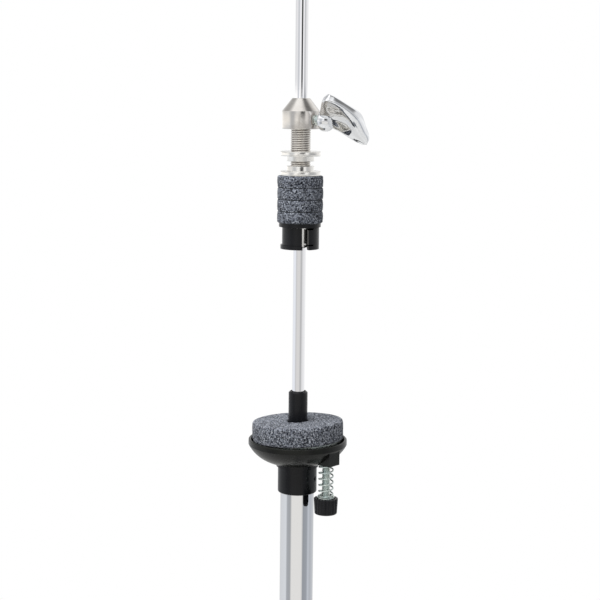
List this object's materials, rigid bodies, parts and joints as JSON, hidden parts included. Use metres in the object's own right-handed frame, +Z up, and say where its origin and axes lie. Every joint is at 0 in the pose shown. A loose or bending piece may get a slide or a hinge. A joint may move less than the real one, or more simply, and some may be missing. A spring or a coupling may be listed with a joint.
{
  "type": "hi-hat stand",
  "caption": "Hi-hat stand: folding tripod with a footboard, telescoping post, tilting felt-topped cymbal seat, and a sprung pull rod carrying a clutch with a wing screw and quick release.",
  "frame": {"origin": "on the floor under the axis of the post, in the middle of the base casting's rubber pad", "axes": "+Z up along the post and the pull rod, -Y from the post towards the player along the footboard, +X to the player's right"},
  "size_m": [0.573, 0.6496, 1.1039],
  "materials": {
    "black_oxide": "black oxide",
    "rubber_black": "matte black rubber",
    "chrome": "polished chrome",
    "steel_bright": "bright zinc plate",
    "steel_satin": "satin turned steel",
    "plastic_black": "matte black plastic",
    "bowl_black": "satin black powder coat",
    "felt_grey": "dark grey pressed felt",
    "aluminium": "satin cast aluminium"
  },
  "bodies": {
    "base": {"base_casting": "aluminium", "floor_pads": "rubber_black", "lower_tube": "chrome", "brace_collar": "aluminium", "brace_pins": "steel_bright", "height_clamp": "chrome", "clamp_bushing": "plastic_black", "heel_plate": "aluminium", "hinge_pin": "steel_bright", "link_rods": "steel_bright"},
    "spring_seat": {"spring_seat": "steel_bright"},
    "tension_ring": {"tension_ring": "aluminium"},
    "upper_tube": {"upper_tube": "chrome", "rod_guide": "plastic_black", "seat_hub": "plastic_black", "hub_screw": "black_oxide", "seat_bowl": "bowl_black", "seat_sleeve": "plastic_black", "tilt_spring": "steel_bright"},
    "tilt_plate": {"tilt_plate": "steel_bright", "seat_felt": "felt_grey"},
    "tilt_washer": {"tilt_washer": "steel_bright"},
    "tilt_screw": {"tilt_screw": "steel_bright", "tilt_knob": "plastic_black"},
    "pull_rod": {"pull_rod": "chrome", "rod_coupling": "steel_bright", "lower_rod": "steel_bright", "drive_chain": "steel_bright", "return_spring": "steel_bright"},
    "footboard": {"footboard": "aluminium", "chain_pin": "steel_bright"},
    "clutch": {"clutch_head": "steel_satin", "clutch_tube": "steel_satin", "upper_felts": "felt_grey"},
    "clutch_shoe": {"clutch_shoe": "steel_bright"},
    "clutch_wing": {"clutch_wing": "chrome", "clutch_wing_stud": "steel_bright"},
    "upper_nut": {"upper_nut": "chrome"},
    "lower_nut": {"lower_nut": "chrome"},
    "quick_release": {"release_core": "plastic_black", "release_sleeve": "steel_bright", "lower_felts": "felt_grey", "release_pins": "steel_bright"},
    "release_left": {"release_left": "plastic_black"},
    "release_right": {"release_right": "plastic_black"},
    "height_wing": {"height_wing": "chrome", "height_wing_stud": "steel_bright"},
    "leg_collar": {"leg_collar": "aluminium", "leg_pins": "steel_bright"},
    "collar_wing": {"collar_wing": "chrome", "collar_wing_stud": "steel_bright"},
    "leg_1": {"leg_1": "chrome", "foot_1": "rubber_black"},
    "brace_1": {"brace_1": "chrome"},
    "leg_2": {"leg_2": "chrome", "foot_2": "rubber_black"},
    "brace_2": {"brace_2": "chrome"},
    "leg_3": {"leg_3": "chrome", "foot_3": "rubber_black"},
    "brace_3": {"brace_3": "chrome"}
  },
  "joints": [
    {"name": "spring_seat_slide", "type": "slide", "parent": "base", "child": "spring_seat", "axis": [0, 0, 1], "range_m": [0, 0.006]},
    {"name": "tension_ring_turn", "type": "hinge", "parent": "spring_seat", "child": "tension_ring", "pos_m": [0, 0, 0.13], "axis": [0, 0, 1], "range_deg": [0, 1440]},
    {"name": "height_slide", "type": "slide", "parent": "base", "child": "upper_tube", "axis": [0, 0, 1], "range_m": [-0.1, 0.03]},
    {"name": "tilt_washer_slide", "type": "slide", "parent": "upper_tube", "child": "tilt_washer", "axis": [0, 0, 1], "range_m": [-0.00109, 0.00079], "deforming": ["tilt_spring"]},
    {"name": "tilt_screw_turn", "type": "hinge", "parent": "tilt_washer", "child": "tilt_screw", "pos_m": [0.01623, -0.01411, 0.76], "axis": [0, 0, 1], "range_deg": [-489.75, 354.66]},
    {"name": "tilt_plate_tilt", "type": "hinge", "parent": "upper_tube", "child": "tilt_plate", "pos_m": [0, 0, 0.7968], "axis": [-0.6561, -0.7547, 0], "range_deg": [-2.9, 2.1]},
    {"name": "footboard_hinge", "type": "hinge", "parent": "base", "child": "footboard", "pos_m": [0, -0.262, 0.018], "axis": [1, 0, 0], "range_deg": [-8.4, 0]},
    {"name": "rod_slide", "type": "slide", "parent": "base", "child": "pull_rod", "axis": [0, 0, 1], "range_m": [-0.03874, 0], "stiffness_N_per_m": 600, "springref_m": 0.03, "deforming": ["return_spring"]},
    {"name": "clutch_slide", "type": "slide", "parent": "pull_rod", "child": "clutch", "axis": [0, 0, 1], "range_m": [-0.03, 0.1]},
    {"name": "clutch_shoe_slide", "type": "slide", "parent": "clutch", "child": "clutch_shoe", "axis": [0.8434, -0.5373, 0], "range_m": [0, 0.001]},
    {"name": "clutch_wing_turn", "type": "hinge", "parent": "clutch_shoe", "child": "clutch_wing", "pos_m": [0, 0, 0.972], "axis": [0.8434, -0.5373, 0], "range_deg": [0, 360]},
    {"name": "upper_nut_turn", "type": "hinge", "parent": "clutch", "child": "upper_nut", "pos_m": [0, 0, 0.952], "axis": [0, 0, 1], "continuous": true},
    {"name": "lower_nut_turn", "type": "hinge", "parent": "clutch", "child": "lower_nut", "pos_m": [0, 0, 0.944], "axis": [0, 0, 1], "continuous": true},
    {"name": "release_slide", "type": "slide", "parent": "clutch", "child": "quick_release", "axis": [0, 0, 1], "range_m": [-0.02, 0]},
    {"name": "release_right_open", "type": "hinge", "parent": "quick_release", "child": "release_right", "pos_m": [0.00114, 0.00815, 0.906], "axis": [0, 0, 1], "range_deg": [0, 8]},
    {"name": "release_left_open", "type": "hinge", "parent": "quick_release", "child": "release_left", "pos_m": [-0.00571, 0.00593, 0.906], "axis": [0, 0, 1], "range_deg": [-8, 0]},
    {"name": "height_wing_turn", "type": "hinge", "parent": "base", "child": "height_wing", "pos_m": [0, 0, 0.416], "axis": [0.866, 0.5, 0], "range_deg": [0, 360]},
    {"name": "leg_collar_slide", "type": "slide", "parent": "base", "child": "leg_collar", "axis": [0, 0, 1], "range_m": [0, 0.05588]},
    {"name": "collar_wing_turn", "type": "hinge", "parent": "leg_collar", "child": "collar_wing", "pos_m": [0, 0, 0.31408], "axis": [0.866, 0.5, 0], "range_deg": [0, 360]},
    {"name": "leg_1_fold", "type": "hinge", "parent": "leg_collar", "child": "leg_1", "pos_m": [0, 0.026, 0.31408], "axis": [-1, 0, 0], "range_deg": [0, 35.6]},
    {"name": "brace_1_fold", "type": "hinge", "parent": "base", "child": "brace_1", "pos_m": [0, 0.026, 0.162], "axis": [-1, 0, 0], "range_deg": [-35.6, 0]},
    {"name": "leg_2_fold", "type": "hinge", "parent": "leg_collar", "child": "leg_2", "pos_m": [-0.02252, -0.013, 0.31408], "axis": [0.5, -0.866, 0], "range_deg": [0, 35.6]},
    {"name": "brace_2_fold", "type": "hinge", "parent": "base", "child": "brace_2", "pos_m": [-0.02252, -0.013, 0.162], "axis": [0.5, -0.866, 0], "range_deg": [-35.6, 0]},
    {"name": "leg_3_fold", "type": "hinge", "parent": "leg_collar", "child": "leg_3", "pos_m": [0.02252, -0.013, 0.31408], "axis": [0.5, 0.866, 0], "range_deg": [0, 35.6]},
    {"name": "brace_3_fold", "type": "hinge", "parent": "base", "child": "brace_3", "pos_m": [0.02252, -0.013, 0.162], "axis": [0.5, 0.866, 0], "range_deg": [-35.6, 0]}
  ],
  "couplings": [
    {"joint": "spring_seat_slide", "follows": "tension_ring_turn", "m_per_rad": 0.00023873},
    {"joint": "tilt_screw_turn", "follows": "tilt_washer_slide", "rad_per_m": 7854},
    {"joint": "tilt_plate_tilt", "follows": "tilt_washer_slide", "rad_per_m": 46.512},
    {"joint": "rod_slide", "follows": "footboard_hinge", "m_per_rad": 0.26416},
    {"joint": "clutch_shoe_slide", "follows": "clutch_wing_turn", "m_per_rad": 0.00015915},
    {"joint": "release_left_open", "follows": "release_right_open", "ratio": -1},
    {"joint": "leg_1_fold", "follows": "leg_collar_slide", "rad_per_m": 11.119},
    {"joint": "brace_1_fold", "follows": "leg_collar_slide", "rad_per_m": -11.119},
    {"joint": "leg_2_fold", "follows": "leg_collar_slide", "rad_per_m": 11.119},
    {"joint": "brace_2_fold", "follows": "leg_collar_slide", "rad_per_m": -11.119},
    {"joint": "leg_3_fold", "follows": "leg_collar_slide", "rad_per_m": 11.119},
    {"joint": "brace_3_fold", "follows": "leg_collar_slide", "rad_per_m": -11.119}
  ]
}
